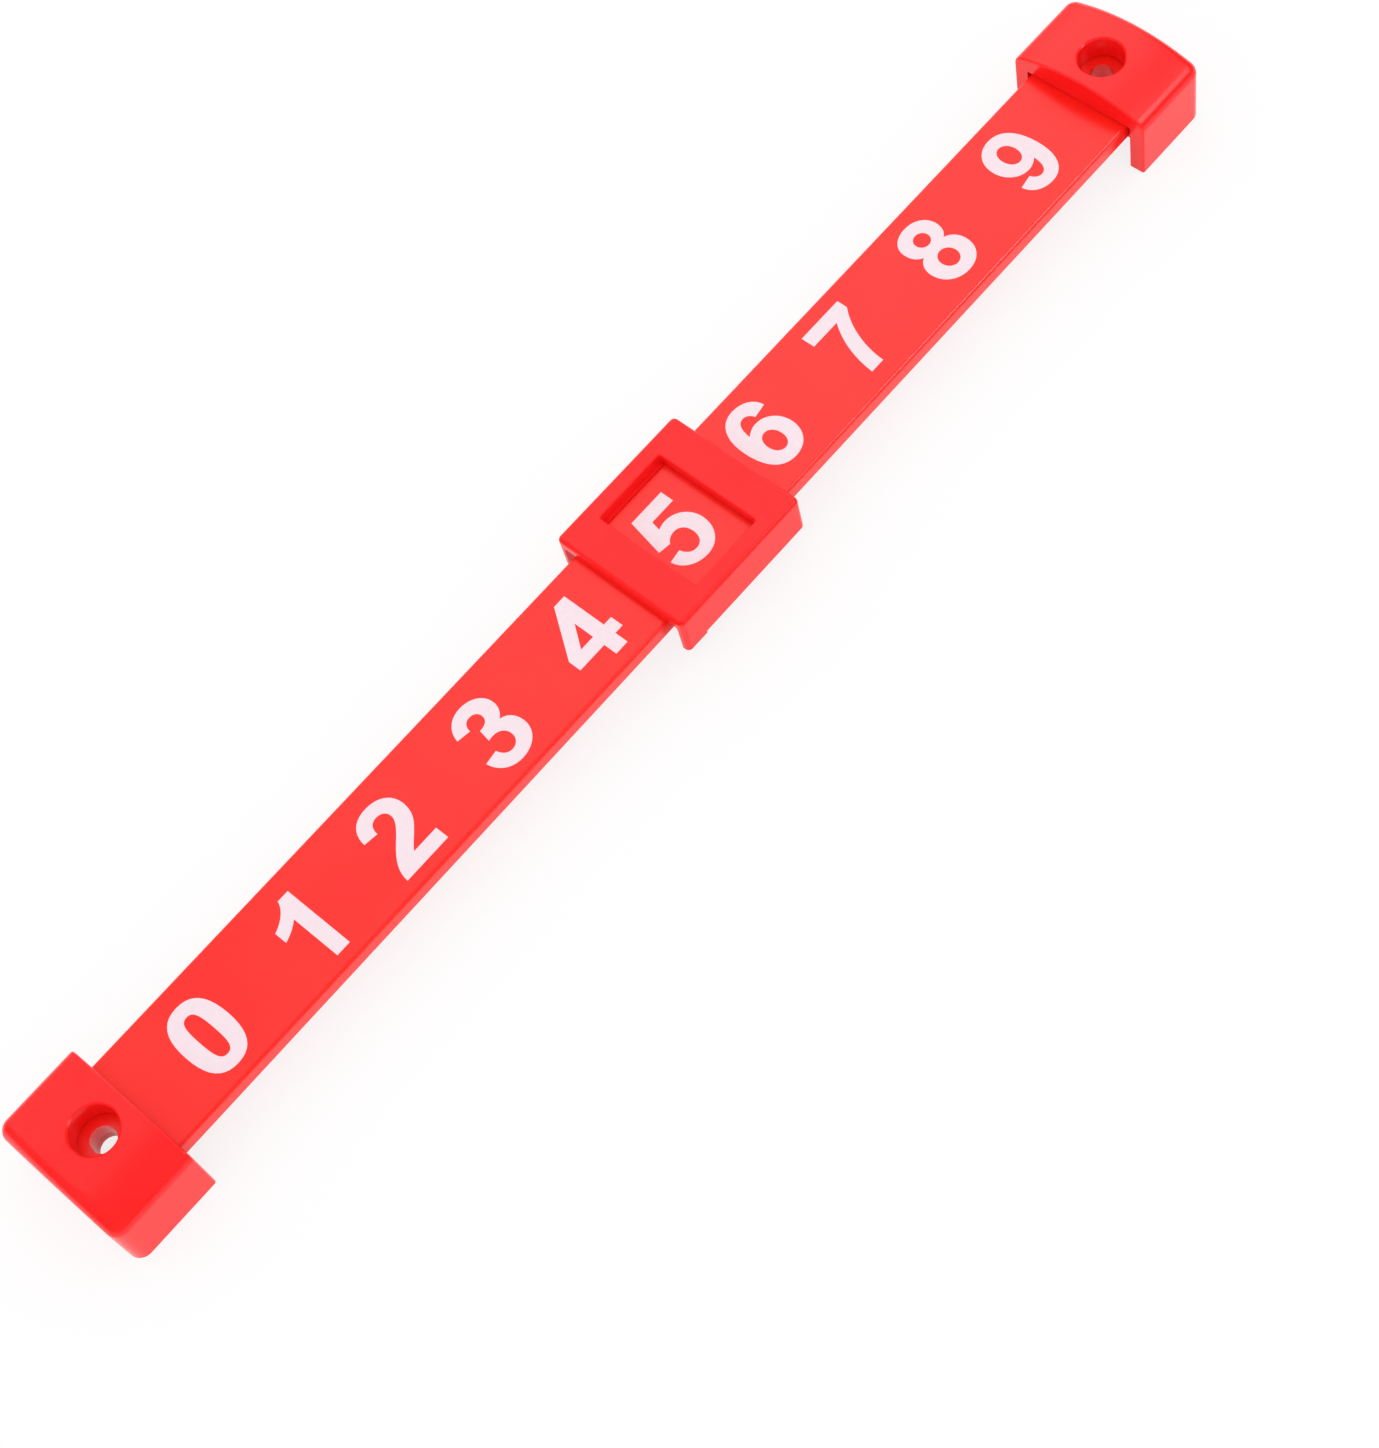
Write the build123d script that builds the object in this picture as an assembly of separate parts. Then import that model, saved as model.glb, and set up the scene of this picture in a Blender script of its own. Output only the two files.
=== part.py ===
"""Foosball score counter: a numbered strip, a hollow cap on each end, and a window clip that slides between.

Millimetres. +X runs from the 0 end to the 9 end, +Y is up for the numbers, and +Z points away from the
table. The origin is under the middle of the strip, on the surface that the caps stand on.
"""

import os

from build123d import *

# Scale strip: a flat bar with its long edges rounded
strip_width = 20.0
strip_thickness = 3.4
strip_lift = 6.35
strip_edge_radius = 0.6

# Numbers 0 to 9, printed on the strip at one pitch
number_count = 10
number_pitch = 21.6

# Slider: a clip round the strip, with a window for one number
slider_length = 28.4
slider_wall = 1.3
slider_wall_gap = 2.1
slider_plate = 1.85
slider_skirt = 2.65
slider_corner_radius = 0.9
slider_top_radius = 0.7
slider_inner_radius = 0.8
window_length = 14.4
window_corner_radius = 0.5
window_rim_radius = 0.3

# Running clearances of the slider on the strip, and its play past the first and the last number
side_clearance = 0.3
top_clearance = 0.3
hook_clearance = 0.3
end_play = 1.0

# Snap hooks inside the slider's walls
hook_length = 16.0
hook_reach = 1.4
hook_lip = 0.5

# The near wall has a small foot at its 0 end
foot_length = 4.4
foot_depth = 0.5
wall_tip_radius = 0.45

# Where the slider stands at rest: over the 5, a little short of its middle
rest_offset = -0.6

# End caps: moulded blocks, hollow underneath, pushed over the strip's ends
tongue_length = 13.8
slot_clearance = 0.1
slot_side_gap = 0.75
cap_side_wall = 2.75
cap_end_wall = 2.1
cap_web = 1.2
web_inset = 1.5
cap_side_height = 11.8
crown_rise = 2.55
cap_corner_radius = 2.25
cap_top_radius = 2.2
mouth_edge_radius = 0.4
hollow_corner_radius = 1.0

# Screw holes: a clearance hole through strip and web, under a well for the screw's head
screw_inset = 6.5
screw_hole_diameter = 4.3
well_diameter = 8.0
well_rim_chamfer = 0.3

# Heights that follow
strip_top = strip_lift + strip_thickness
slot_top = strip_top + slot_clearance
slot_floor = strip_lift - slot_clearance
hollow_top = slot_floor - cap_web
crown_top = cap_side_height + crown_rise
plate_underside = strip_top + top_clearance
plate_top = plate_underside + slider_plate
skirt_bottom = strip_lift - slider_skirt
foot_bottom = skirt_bottom - foot_depth

# Widths, lengths and places that follow
strip_half = strip_width / 2
slot_half = strip_half + slot_side_gap
cap_half = slot_half + cap_side_wall
slot_depth = tongue_length + slot_clearance
cap_length = slot_depth + cap_end_wall
number_span = (number_count - 1) * number_pitch
clear_length = number_span + slider_length + 2 * end_play
mouth_x = clear_length / 2
screw_x = mouth_x + screw_inset
guide_half = strip_half + side_clearance
slider_inner_half = strip_half + slider_wall_gap
slider_half = slider_inner_half + slider_wall
rest_x = number_pitch / 2 + rest_offset

# How far a cutting solid runs past the face that it opens
overrun = 1.0


def block(x_span, y_span, z_span):
    """A plain block between two values on each axis."""
    size = [high - low for low, high in (x_span, y_span, z_span)]
    middle = [(high + low) / 2 for low, high in (x_span, y_span, z_span)]
    return Pos(*middle) * Box(*size)


def bore(x, radius, z_span):
    """An upright cylinder on the strip's centre line."""
    low, high = z_span
    return Pos(x, 0, (low + high) / 2) * Cylinder(radius, high - low)


def pulled_along_x(section, x_start, length):
    """A section drawn in Y and Z, pulled along +X from x_start."""
    return Pos(x_start, 0, 0) * extrude(Plane.YZ * section, amount=length)


def make_scale_strip():
    """The flat bar, with a screw hole through each of its two tongues."""
    half_length = mouth_x + tongue_length
    bar = block((-half_length, half_length), (-strip_half, strip_half), (strip_lift, strip_top))
    bar = fillet(bar.edges().filter_by(Axis.X), strip_edge_radius)
    for x in (-screw_x, screw_x):
        bar -= bore(x, screw_hole_diameter / 2, (strip_lift - overrun, strip_top + overrun))
    return bar


def cap_shell():
    """The cap's outside: upright sides under a low arch, with its mouth at x = 0."""
    left_top = (-cap_half, cap_side_height)
    right_top = (cap_half, cap_side_height)
    outline = Polyline(left_top, (-cap_half, 0), (cap_half, 0), right_top)
    outline += ThreePointArc(right_top, (0, crown_top), left_top)
    shell = pulled_along_x(make_face(outline), 0, cap_length)

    outer_uprights = shell.edges().filter_by(Axis.Z).group_by(Axis.X)[-1]
    shell = fillet(outer_uprights, cap_corner_radius)
    crown = shell.faces().sort_by(Axis.Z)[-1]
    mouth_arc = crown.edges().sort_by(Axis.X)[0]
    rim = [edge for edge in crown.edges() if not edge.is_same(mouth_arc)]
    shell = fillet(rim, cap_top_radius)
    mouth = shell.faces().sort_by(Axis.X)[0]
    foot_edge = mouth.edges().sort_by(Axis.Z)[0]
    mouth_rim = [edge for edge in mouth.edges() if not edge.is_same(foot_edge)]
    return fillet(mouth_rim, mouth_edge_radius)


def make_end_cap():
    """One cap with its mouth at x = 0 and its closed end towards +X."""
    cap = cap_shell()
    cap -= block((-overrun, slot_depth), (-slot_half, slot_half), (slot_floor, slot_top))
    cap -= block((-overrun, web_inset), (-slot_half, slot_half), (-overrun, slot_top))

    under = block((-overrun, slot_depth), (-slot_half, slot_half), (-overrun, hollow_top))
    inner_uprights = under.edges().filter_by(Axis.Z).group_by(Axis.X)[-1]
    cap -= fillet(inner_uprights, hollow_corner_radius)

    cap -= bore(screw_inset, screw_hole_diameter / 2, (0, slot_top))
    cap -= bore(screw_inset, well_diameter / 2, (slot_top - slot_clearance, crown_top + overrun))
    high_edges = cap.edges().filter_by(lambda edge: edge.center().Z > crown_top - crown_rise / 2)
    well_rim = high_edges.sort_by_distance((screw_inset, 0, crown_top))[0]
    return chamfer(well_rim, well_rim_chamfer)


def slider_section():
    """The clip seen from its end: a plate with a thin wall down each side of the strip."""
    section = make_face(
        Polyline(
            (-slider_half, foot_bottom),
            (-slider_inner_half, foot_bottom),
            (-slider_inner_half, plate_underside),
            (slider_inner_half, plate_underside),
            (slider_inner_half, skirt_bottom),
            (slider_half, skirt_bottom),
            (slider_half, plate_top),
            (-slider_half, plate_top),
            close=True,
        )
    )
    inner_corners = [
        corner
        for corner in section.vertices()
        if abs(corner.Y - plate_underside) < slider_plate / 2 and abs(corner.X) < slider_half
    ]
    return fillet(inner_corners, slider_inner_radius)


def snap_hook():
    """The lug on the far wall that guides the strip's edge and catches under it."""
    tip = strip_half - hook_reach
    catch = strip_lift - hook_clearance
    section = make_face(
        Polyline(
            (slider_inner_half + slider_wall / 2, plate_underside + slider_plate / 2),
            (guide_half, plate_underside + slider_plate / 2),
            (guide_half, catch),
            (tip, catch),
            (tip, catch - hook_lip),
            (slider_inner_half, skirt_bottom),
            (slider_inner_half + slider_wall / 2, skirt_bottom),
            close=True,
        )
    )
    return pulled_along_x(section, -hook_length / 2, hook_length)


def slider_window():
    """The cutting solid of the window, which is as wide as the strip and its two clearances."""
    opening = block(
        (-window_length / 2, window_length / 2),
        (-guide_half, guide_half),
        (strip_top, plate_top + overrun),
    )
    return fillet(opening.edges().filter_by(Axis.Z), window_corner_radius)


def make_slider():
    """The window clip, with its middle at x = 0."""
    half = slider_length / 2
    clip = pulled_along_x(slider_section(), -half, slider_length)
    outer_uprights = clip.edges().filter_by(Axis.Z).filter_by(
        lambda edge: abs(edge.center().Y) > slider_half - slider_wall / 2
    )
    clip = fillet(outer_uprights, slider_corner_radius)
    clip = fillet(clip.faces().sort_by(Axis.Z)[-1].edges(), slider_top_radius)

    near_side = (-slider_half - overrun, -guide_half)
    relief = block((-half + foot_length, half + overrun), near_side, (foot_bottom - overrun, skirt_bottom))
    clip -= relief
    across_near_wall = clip.edges().filter_by(Axis.Y).filter_by(lambda edge: edge.center().Y < -guide_half)
    by_length = across_near_wall.group_by(Axis.X)
    wall_tips = [by_length[0].sort_by(Axis.Z)[0], by_length[-1].sort_by(Axis.Z)[0]]
    clip = fillet(wall_tips, wall_tip_radius)

    far_hook = snap_hook()
    clip += far_hook
    clip += far_hook.mirror(Plane.XZ)
    clip -= slider_window()
    rim = clip.faces().sort_by(Axis.Z)[-1].inner_wires()[0].edges()
    return fillet(rim, window_rim_radius)


def write(name, shape):
    """Writes one piece under its own name."""
    export_step(shape, f"parts/{name}.step")


def main():
    os.makedirs("parts", exist_ok=True)
    cap = make_end_cap()
    write("scale_strip", make_scale_strip())
    write("end_cap_nine", Pos(mouth_x, 0, 0) * cap)
    write("end_cap_zero", Rot(0, 0, 180) * Pos(mouth_x, 0, 0) * cap)
    write("slider", Pos(rest_x, 0, 0) * make_slider())


main()
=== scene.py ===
"""The sliding score counter's look: glossy red mouldings, white printed numbers, pale floor, soft light."""

import math

import bmesh
import bpy
from mathutils import Matrix, Quaternion, Vector


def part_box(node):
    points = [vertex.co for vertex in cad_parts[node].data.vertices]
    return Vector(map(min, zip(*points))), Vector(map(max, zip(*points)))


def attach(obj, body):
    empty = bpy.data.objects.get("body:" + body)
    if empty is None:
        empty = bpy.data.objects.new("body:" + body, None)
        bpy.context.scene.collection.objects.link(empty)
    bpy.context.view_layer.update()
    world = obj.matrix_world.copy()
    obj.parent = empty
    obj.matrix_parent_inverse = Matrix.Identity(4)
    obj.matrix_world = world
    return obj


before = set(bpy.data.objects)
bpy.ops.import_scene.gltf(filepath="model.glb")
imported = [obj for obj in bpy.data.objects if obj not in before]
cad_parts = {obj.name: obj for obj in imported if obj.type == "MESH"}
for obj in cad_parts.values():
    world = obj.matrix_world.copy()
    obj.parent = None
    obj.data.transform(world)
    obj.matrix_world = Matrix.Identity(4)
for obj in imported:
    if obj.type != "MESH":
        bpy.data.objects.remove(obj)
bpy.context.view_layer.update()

MM = 0.001

# Printed numbers. Outlines are drawn on a grid where a plain number is 100 units tall, with 0 at its middle.
# A pair of values is a straight edge to that point, and six values are a curve: two handles, then the point.
number_height = 13.6 * MM
number_stretch = 1.04
ink_thickness = 0.03 * MM
ink_sunk = 0.01 * MM
curve_steps = 10

# Where the middle of each number stands, along and across the strip. The print isn't quite even.
number_places = [
    (-97.8, -0.7),
    (-76.3, -0.7),
    (-56.5, -0.8),
    (-34.8, -0.8),
    (-13.6, -0.5),
    (9.0, -0.3),
    (31.1, 0.2),
    (53.2, 0.3),
    (75.1, 0.2),
    (97.1, 0.1),
]

# The slider's plate is lined down to the strip on both sides of its window, and a thin ledge closes each of
# the window's two other sides at its foot, so that no dark gap shows there.
window_length = 14.4 * MM
window_width = 20.6 * MM
plate_gap = 0.3 * MM
lining_width = 19.8 * MM
lining_gap = 0.05 * MM
lining_bury = 0.1 * MM
ledge_reach = 0.7 * MM
ledge_height = 0.1 * MM

# Camera at the photograph's place, with the whole of the photograph's frame on its sensor
camera_place = Vector((-120.27, -194.57, 380.27)) * MM
camera_aim = Vector((-12.50, -20.14, 0.0)) * MM
camera_roll = math.radians(19.08)
camera_lens = 68.68
camera_sensor = 36.0
camera_near = 0.01
camera_far = 20.0

# Two close shades of each finish, and where on the clouds each begins. The strip's red is a little warmer.
strip_shades = [(0.990, 0.0085, 0.0045), (1.000, 0.0125, 0.0065)]
cap_shades = [(0.990, 0.008, 0.009), (1.000, 0.011, 0.012)]
slider_shades = [(0.990, 0.008, 0.009), (1.000, 0.011, 0.012)]
ink_shades = [(0.88, 0.71, 0.77), (0.89, 0.74, 0.79)]
shade_low_end = 0.35
shade_high_end = 0.65

# What the moulds and the printing leave on each finish: shine, clouds, and bumps far finer than a hair
strip_skin = {"Shine": 0.25, "Cloud Scale": 70.0}
cap_skin = {"Shine": 0.23, "Cloud Scale": 120.0}
slider_skin = {"Shine": 0.22, "Cloud Scale": 110.0}
ink_skin = {"Grain Scale": 3200.0, "Cloud Scale": 900.0, "Shine": 0.38, "Shine Spread": 0.08}
strip_bump = 0.0003 * MM
cap_bump = 0.0004 * MM
slider_bump = 0.0004 * MM
ink_bump = 0.0006 * MM

# Slow waves under the grain, and how many times as high as the grain they stand
wave_scale = 210.0
wave_height = 8.0

# Index of refraction of each finish, which sets how strong its gloss is
strip_ior = 1.50
cap_ior = 1.43
slider_ior = 1.38
ink_ior = 1.48

# Soft studio light: even light from all round, and three bright cards that show in the gloss alone.
# Two stand one before the other beyond the 9 end, and a narrow one on the near side lights the near edges.
# The glow is the part of the floor that shows plain white, and the rest takes the light and the shadow.
sky_strength = 1.08
near_card_place = Vector((1.05, 1.05, 1.45))
near_card_size = (1.5, 1.5)
near_card_power = 4.2
wide_card_place = Vector((0.88, 1.40, 1.60))
wide_card_size = (4.2, 4.2)
wide_card_power = 34.0
edge_card_place = Vector((0.93, -1.0, 1.48))
edge_card_size = (0.4, 1.3)
edge_card_turn = math.radians(-34)
edge_card_power = 9.5
floor_size = 6.0
floor_colour = (0.96, 0.96, 0.96)
floor_glow = 0.82


def oval(x, y, half_width, half_height, fullness):
    """A closed outline round (x, y). Fullness is 0.55 for an ellipse, and more for squarer shoulders."""
    a = half_width
    b = half_height
    p = a * fullness
    q = b * fullness
    return [
        (x, y + b),
        (x - p, y + b, x - a, y + q, x - a, y),
        (x - a, y - q, x - p, y - b, x, y - b),
        (x + p, y - b, x + a, y - q, x + a, y),
        (x + a, y + q, x + p, y + b, x, y + b),
    ]


def half_turned(outline):
    """The same outline turned upside down."""
    return [tuple(-value for value in step) for step in outline]


zero = [oval(0, 0, 32, 51, 0.68), oval(0, 0, 11, 33.7, 0.77)]
one = [
    [
        (18.5, 50),
        (18.5, -50),
        (-0.5, -50),
        (-0.5, 20),
        (-7.5, 14, -15.5, 9.5, -25, 7),
        (-25, 24.5),
        (-13, 28.5, 0, 38, 3, 50),
    ]
]
two = [
    [
        (-32, -50),
        (32, -50),
        (32, -31),
        (-2.7, -31),
        (2, -24, 13.5, -15.5, 22, -5.5),
        (28.5, 2.5, 31, 11.5, 31, 21.5),
        (31, 39, 18.5, 50.5, 0, 50.5),
        (-19, 50.5, -30, 39, -31, 20),
        (-13, 17.5),
        (-12.5, 27.5, -8, 33, 0, 33),
        (7, 33, 12, 28.5, 12, 21),
        (12, 12.5, 3.5, 4, -3.5, -3),
        (-19, -17.5, -31, -30, -32, -50),
    ]
]
three = [
    [
        (-32, 24),
        (-14.5, 21),
        (-14, 29, -9.5, 34, -3, 34),
        (3, 34, 7.5, 30, 7.5, 24),
        (7.5, 16.5, 3, 12, -7.5, 12),
        (-10, -5),
        (2, -1.5, 12, -7.5, 12, -19),
        (12, -27.5, 6.5, -34, -1.5, -34),
        (-8.5, -34, -13, -28, -14.5, -20),
        (-32.5, -22.5),
        (-30.5, -40, -18.5, -51, -2, -51),
        (17.5, -51, 32, -37.5, 32, -19.5),
        (32, -6.5, 26.5, 2, 16.5, 4.5),
        (23.5, 9, 27.5, 16.5, 27.5, 25.5),
        (27.5, 40.5, 15, 51, -1, 51),
        (-17, 51, -29, 41, -32, 24),
    ]
]
four = [
    [
        (6, 50),
        (23, 50),
        (23, -13),
        (35, -13),
        (35, -31),
        (23, -31),
        (23, -50),
        (4.5, -50),
        (4.5, -31),
        (-35, -31),
        (-35, -13),
    ],
    [(4.5, 16), (4.5, -13.5), (-15.5, -13.5)],
]
five = [
    [
        (-21.5, 50),
        (29, 50),
        (29, 31),
        (-6.5, 31),
        (-9, 17.5),
        (-5, 19, -1, 20, 3, 20),
        (20, 20, 33, 6, 33, -13),
        (33, -34.5, 19, -50.5, 0.5, -50.5),
        (-18, -50.5, -31.5, -38.5, -33, -22.5),
        (-15.5, -20),
        (-13.5, -29.5, -8.5, -34.5, -1, -34.5),
        (7.5, -34.5, 13, -26.5, 13, -16),
        (13, -5, 7.5, 2, -1, 2),
        (-7.5, 2, -12, -1, -15.5, -5.5),
        (-31.5, -3),
    ]
]
six = [
    [
        (30.5, 26.5),
        (12, 23.5),
        (10, 31, 5.5, 34, 1, 34),
        (-7.5, 34, -11.5, 24, -12.5, 10.5),
        (-7, 14.5, -1.5, 17, 5, 17),
        (20.5, 17, 32.5, 3, 32.5, -15.5),
        (32.5, -36, 19.5, -51, 0, -51),
        (-21.5, -51, -32.5, -32, -32.5, 0),
        (-32.5, 33, -19, 51, 1, 51),
        (17.5, 51, 29, 42, 30.5, 26.5),
    ],
    oval(1.5, -16.5, 12, 17, 0.58),
]
seven = [
    [
        (-32, 49.5),
        (32, 49.5),
        (32, 34.5),
        (14, 14, 1.5, -18, 0, -49.5),
        (-19.5, -49.5),
        (-16.5, -14, -4.5, 12, 8.5, 30),
        (-32, 30),
    ]
]
eight = [
    [
        (0, 51),
        (-17.5, 51, -28.5, 40, -28.5, 25.5),
        (-28.5, 15.5, -25, 8.5, -18, 4.5),
        (-27, 1, -32, -8.5, -32, -19),
        (-32, -38, -18.5, -51, 0, -51),
        (18.5, -51, 32, -38, 32, -19),
        (32, -8.5, 27, 1, 18, 4.5),
        (25, 8.5, 28.5, 15.5, 28.5, 25.5),
        (28.5, 40, 17.5, 51, 0, 51),
    ],
    oval(0, 23, 10.5, 11, 0.56),
    oval(0, -19, 12.5, 14.5, 0.56),
]
nine = [half_turned(outline) for outline in six]
number_outlines = [zero, one, two, three, four, five, six, seven, eight, nine]


def make_piece(name, work):
    """Makes an object of a finished bmesh, with its place in its mesh."""
    mesh = bpy.data.meshes.new(name)
    work.to_mesh(mesh)
    work.free()
    piece = bpy.data.objects.new(name, mesh)
    bpy.context.scene.collection.objects.link(piece)
    return piece


def add_outline(curve, outline, scale):
    """Adds one closed outline of a number to a flat curve, straight edges and curves alike."""
    closed = outline[0][:2] == outline[-1][-2:]
    ends = [step[-2:] for step in outline]
    if closed:
        ends = ends[:-1]
    count = len(ends)
    spline = curve.splines.new("BEZIER")
    spline.bezier_points.add(count - 1)
    spline.use_cyclic_u = True
    for index, (point, end) in enumerate(zip(spline.bezier_points, ends)):
        point.handle_left_type = "FREE"
        point.handle_right_type = "FREE"
        place = Vector((*end, 0)) * scale
        point.co = place
        point.handle_left = place
        point.handle_right = place
    for index, step in enumerate(outline):
        if len(step) == 6:
            before = spline.bezier_points[index - 1]
            after = spline.bezier_points[index % count]
            before.handle_right = Vector((*step[0:2], 0)) * scale
            after.handle_left = Vector((*step[2:4], 0)) * scale


def print_number(digit, top):
    """One printed number: a thin flat layer of ink that lies on the strip."""
    curve = bpy.data.curves.new(f"number_{digit}", "CURVE")
    curve.dimensions = "2D"
    curve.fill_mode = "BOTH"
    curve.resolution_u = curve_steps
    curve.extrude = ink_thickness / 2
    for outline in number_outlines[digit]:
        add_outline(curve, outline, number_height / 100)
    drawing = bpy.data.objects.new(f"number_{digit}_drawing", curve)
    bpy.context.scene.collection.objects.link(drawing)
    bpy.context.view_layer.update()
    flat = bpy.data.meshes.new_from_object(drawing.evaluated_get(bpy.context.evaluated_depsgraph_get()))
    work = bmesh.new()
    work.from_mesh(flat)
    bpy.data.objects.remove(drawing)
    bpy.data.meshes.remove(flat)

    along, across = number_places[digit]
    place = Vector((along * MM, across * MM, top + ink_thickness / 2 - ink_sunk))
    bmesh.ops.remove_doubles(work, verts=work.verts, dist=ink_thickness / 100)
    bmesh.ops.recalc_face_normals(work, faces=work.faces)
    bmesh.ops.scale(work, verts=work.verts, vec=(number_stretch, 1, 1))
    bmesh.ops.translate(work, verts=work.verts, vec=place)
    return make_piece(f"number_{digit}", work)


def link(tree, start, end):
    """Joins two sockets of a node tree."""
    tree.links.new(start, end)


def new_group(name, inputs, outputs):
    """An empty shader group with named sockets. Returns its tree, its input node and its output node."""
    tree = bpy.data.node_groups.new(name, "ShaderNodeTree")
    for label, kind, value in inputs:
        socket = tree.interface.new_socket(name=label, in_out="INPUT", socket_type=kind)
        if value is not None:
            socket.default_value = value
    for label, kind in outputs:
        tree.interface.new_socket(name=label, in_out="OUTPUT", socket_type=kind)
    return tree, tree.nodes.new("NodeGroupInput"), tree.nodes.new("NodeGroupOutput")


def add_math(tree, operation, *values):
    """A Math node, fed by sockets or plain numbers. Returns its output."""
    node = tree.nodes.new("ShaderNodeMath")
    node.operation = operation
    for socket, value in zip(node.inputs, values):
        if isinstance(value, bpy.types.NodeSocket):
            link(tree, value, socket)
        else:
            socket.default_value = value
    return node.outputs[0]


def add_noise(tree, place, scale, detail):
    """A Noise Texture whose scale is a socket or a plain number. Returns its value."""
    node = tree.nodes.new("ShaderNodeTexNoise")
    link(tree, place, node.inputs["Vector"])
    if isinstance(scale, bpy.types.NodeSocket):
        link(tree, scale, node.inputs["Scale"])
    else:
        node.inputs["Scale"].default_value = scale
    node.inputs["Detail"].default_value = detail
    return node.outputs["Fac"]


def make_moulded_skin():
    """The skin that a polished mould leaves: fine grain, slow waviness and faint clouds of flow."""
    tree, given, out = new_group(
        "moulded_skin",
        [
            ("Place", "NodeSocketVector", None),
            ("Grain Scale", "NodeSocketFloat", 2600.0),
            ("Cloud Scale", "NodeSocketFloat", 90.0),
            ("Shine", "NodeSocketFloat", 0.30),
            ("Shine Spread", "NodeSocketFloat", 0.05),
        ],
        [
            ("Height", "NodeSocketFloat"),
            ("Roughness", "NodeSocketFloat"),
            ("Clouds", "NodeSocketFloat"),
        ],
    )
    place = given.outputs["Place"]
    grain = add_noise(tree, place, given.outputs["Grain Scale"], 2.0)
    waves = add_noise(tree, place, wave_scale, 1.0)
    clouds = add_noise(tree, place, given.outputs["Cloud Scale"], 3.0)
    height = add_math(tree, "MULTIPLY_ADD", waves, wave_height, grain)
    link(tree, height, out.inputs["Height"])
    drift = add_math(tree, "SUBTRACT", clouds, 0.5)
    spread = add_math(tree, "MULTIPLY", drift, given.outputs["Shine Spread"])
    rough = add_math(tree, "ADD", given.outputs["Shine"], spread)
    link(tree, rough, out.inputs["Roughness"])
    link(tree, clouds, out.inputs["Clouds"])
    return tree


moulded_skin = make_moulded_skin()


def new_material(name):
    """A new material, its tree and its Principled shader."""
    material = bpy.data.materials.new(name)
    material.use_nodes = True
    return material, material.node_tree, material.node_tree.nodes["Principled BSDF"]


def add_skin(tree, shader, values, bump_height):
    """Puts the moulded skin on a shader, and returns its clouds for the colour."""
    place = tree.nodes.new("ShaderNodeTexCoord").outputs["Object"]
    skin = tree.nodes.new("ShaderNodeGroup")
    skin.node_tree = moulded_skin
    link(tree, place, skin.inputs["Place"])
    for label, value in values.items():
        skin.inputs[label].default_value = value
    bump = tree.nodes.new("ShaderNodeBump")
    bump.inputs["Strength"].default_value = 1.0
    bump.inputs["Distance"].default_value = bump_height
    link(tree, skin.outputs["Height"], bump.inputs["Height"])
    link(tree, bump.outputs["Normal"], shader.inputs["Normal"])
    link(tree, skin.outputs["Roughness"], shader.inputs["Roughness"])
    return skin.outputs["Clouds"]


def add_tint(tree, shader, clouds, shades):
    """Lets the clouds move the colour between two close shades."""
    ramp = tree.nodes.new("ShaderNodeValToRGB")
    for end, position, shade in zip(ramp.color_ramp.elements, (shade_low_end, shade_high_end), shades):
        end.position = position
        end.color = (*shade, 1)
    link(tree, clouds, ramp.inputs["Fac"])
    link(tree, ramp.outputs["Color"], shader.inputs["Base Color"])


def make_finish(name, shades, skin_values, bump_height, ior):
    """A finish with the moulded skin on it, and its own shades, bumps and gloss."""
    material, tree, shader = new_material(name)
    clouds = add_skin(tree, shader, skin_values, bump_height)
    add_tint(tree, shader, clouds, shades)
    shader.inputs["IOR"].default_value = ior
    return material


strip_red = make_finish("strip_red", strip_shades, strip_skin, strip_bump, strip_ior)
cap_red = make_finish("cap_red", cap_shades, cap_skin, cap_bump, cap_ior)
slider_red = make_finish("slider_red", slider_shades, slider_skin, slider_bump, slider_ior)
number_ink = make_finish("number_ink", ink_shades, ink_skin, ink_bump, ink_ior)

node_finish = {
    "scale_strip": strip_red,
    "end_cap_zero": cap_red,
    "end_cap_nine": cap_red,
    "slider": slider_red,
}
for name, finish in node_finish.items():
    for material_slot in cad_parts[name].material_slots:
        material_slot.material = finish

strip_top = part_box("scale_strip")[1].z
for digit in range(len(number_outlines)):
    number = print_number(digit, strip_top)
    number.data.materials.append(number_ink)
    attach(number, "counter")


def add_bar(work, low, high):
    """A plain bar between two opposite corners."""
    place = Matrix.Translation((low + high) / 2)
    size = Matrix.Diagonal((*(high - low), 1))
    bmesh.ops.create_cube(work, size=1.0, matrix=place @ size)


def make_slider_lining():
    """The underside of the slider's plate on both sides of its window, and the two ledges at its foot."""
    slider_low, slider_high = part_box("slider")
    middle = (slider_low.x + slider_high.x) / 2
    half_length = (slider_high.x - slider_low.x) / 2
    underside = strip_top + lining_gap
    lining_top = strip_top + plate_gap + lining_bury
    work = bmesh.new()
    for side in (-1, 1):
        near_end = middle + side * window_length / 2
        far_end = middle + side * (half_length - lining_gap)
        add_bar(
            work,
            Vector((min(near_end, far_end), -lining_width / 2, underside)),
            Vector((max(near_end, far_end), lining_width / 2, lining_top)),
        )
        wall = side * (window_width / 2 + lining_bury)
        edge = side * (window_width / 2 - ledge_reach)
        add_bar(
            work,
            Vector((middle - window_length / 2, min(wall, edge), underside)),
            Vector((middle + window_length / 2, max(wall, edge), underside + ledge_height)),
        )
    return make_piece("slider_lining", work)


slider_lining = make_slider_lining()
slider_lining.data.materials.append(slider_red)
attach(slider_lining, "slider")


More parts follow.
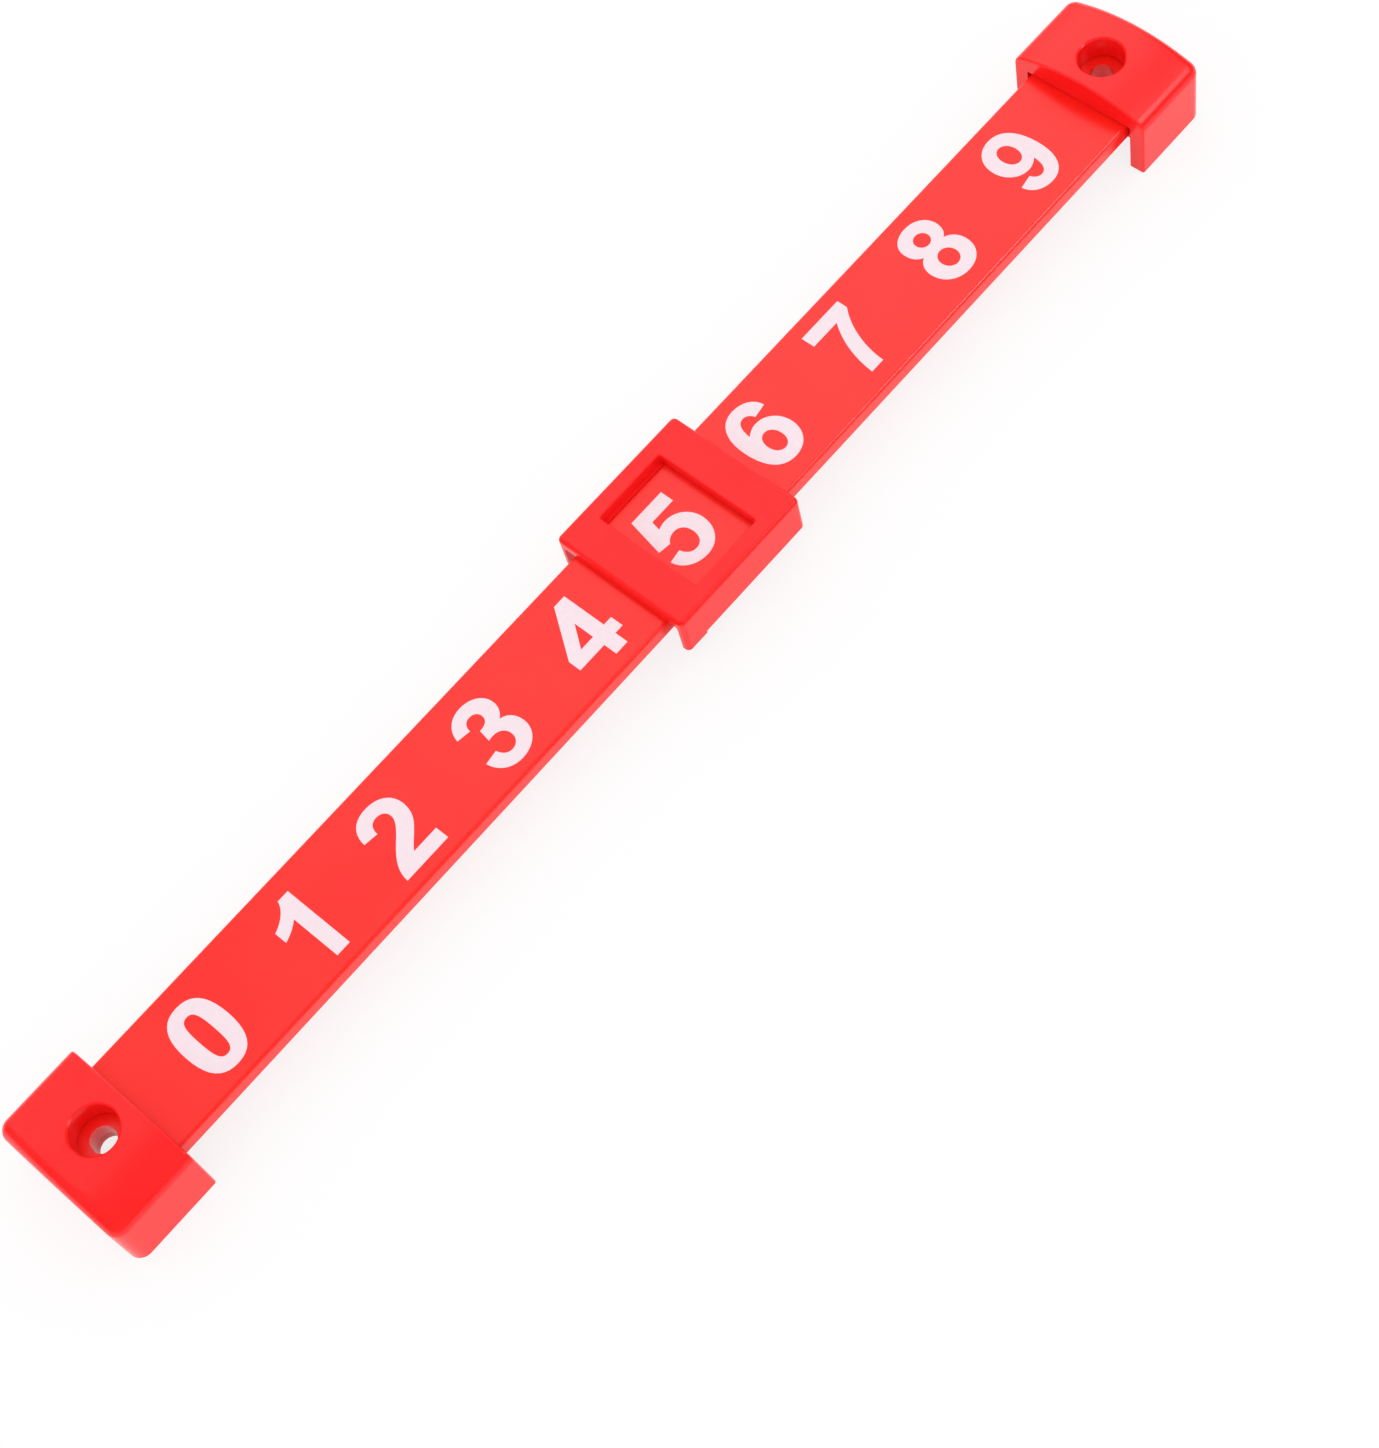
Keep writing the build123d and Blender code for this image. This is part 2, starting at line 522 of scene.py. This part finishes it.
def make_floor():
    """A pale floor that looks white to the camera and to the gloss, and keeps the soft shadow."""
    work = bmesh.new()
    bmesh.ops.create_grid(work, x_segments=1, y_segments=1, size=floor_size / 2)
    floor = make_piece("floor", work)

    material = bpy.data.materials.new("pale_floor")
    material.use_nodes = True
    tree = material.node_tree
    tree.nodes.clear()
    diffuse = tree.nodes.new("ShaderNodeBsdfDiffuse")
    diffuse.inputs["Color"].default_value = (*floor_colour, 1)
    glow = tree.nodes.new("ShaderNodeEmission")
    glow.inputs["Strength"].default_value = 1.0
    rays = tree.nodes.new("ShaderNodeLightPath")
    seen = add_math(tree, "MAXIMUM", rays.outputs["Is Camera Ray"], rays.outputs["Is Glossy Ray"])
    seen = add_math(tree, "MAXIMUM", seen, rays.outputs["Is Transmission Ray"])
    share = add_math(tree, "MULTIPLY", seen, floor_glow)
    mix = tree.nodes.new("ShaderNodeMixShader")
    link(tree, share, mix.inputs["Fac"])
    link(tree, diffuse.outputs[0], mix.inputs[1])
    link(tree, glow.outputs[0], mix.inputs[2])
    out = tree.nodes.new("ShaderNodeOutputMaterial")
    link(tree, mix.outputs[0], out.inputs["Surface"])
    floor.data.materials.append(material)


def make_sky():
    """Even white light from all round, which the gloss doesn't show."""
    world = bpy.data.worlds.new("studio")
    bpy.context.scene.world = world
    world.use_nodes = True
    sky = world.node_tree.nodes["Background"]
    sky.inputs["Color"].default_value = (1, 1, 1, 1)
    sky.inputs["Strength"].default_value = sky_strength
    world.cycles_visibility.glossy = False


def make_card(name, place, size, power, turn=0.0):
    """A bright card that faces the counter, shows in its gloss and adds no other light."""
    light = bpy.data.lights.new(name, "AREA")
    light.shape = "RECTANGLE"
    light.size, light.size_y = size
    light.energy = power
    card = bpy.data.objects.new(name, light)
    card.location = place
    card.rotation_mode = "QUATERNION"
    card.rotation_quaternion = (-place).to_track_quat("-Z", "Y") @ Quaternion((0, 0, 1), turn)
    card.visible_diffuse = False
    bpy.context.scene.collection.objects.link(card)


def make_camera():
    """The camera at the photograph's place, turned to its view."""
    data = bpy.data.cameras.new("camera")
    data.sensor_width = camera_sensor
    data.lens = camera_lens
    data.clip_start = camera_near
    data.clip_end = camera_far
    camera = bpy.data.objects.new("camera", data)
    camera.location = camera_place
    camera.rotation_mode = "QUATERNION"
    facing = (camera_aim - camera_place).to_track_quat("-Z", "Y")
    camera.rotation_quaternion = facing @ Quaternion((0, 0, 1), -camera_roll)
    bpy.context.scene.collection.objects.link(camera)
    bpy.context.scene.camera = camera


make_floor()
make_sky()
make_card("near_card", near_card_place, near_card_size, near_card_power)
make_card("wide_card", wide_card_place, wide_card_size, wide_card_power)
make_card("edge_card", edge_card_place, edge_card_size, edge_card_power, edge_card_turn)
make_camera()
bpy.context.scene.view_settings.view_transform = "Standard"
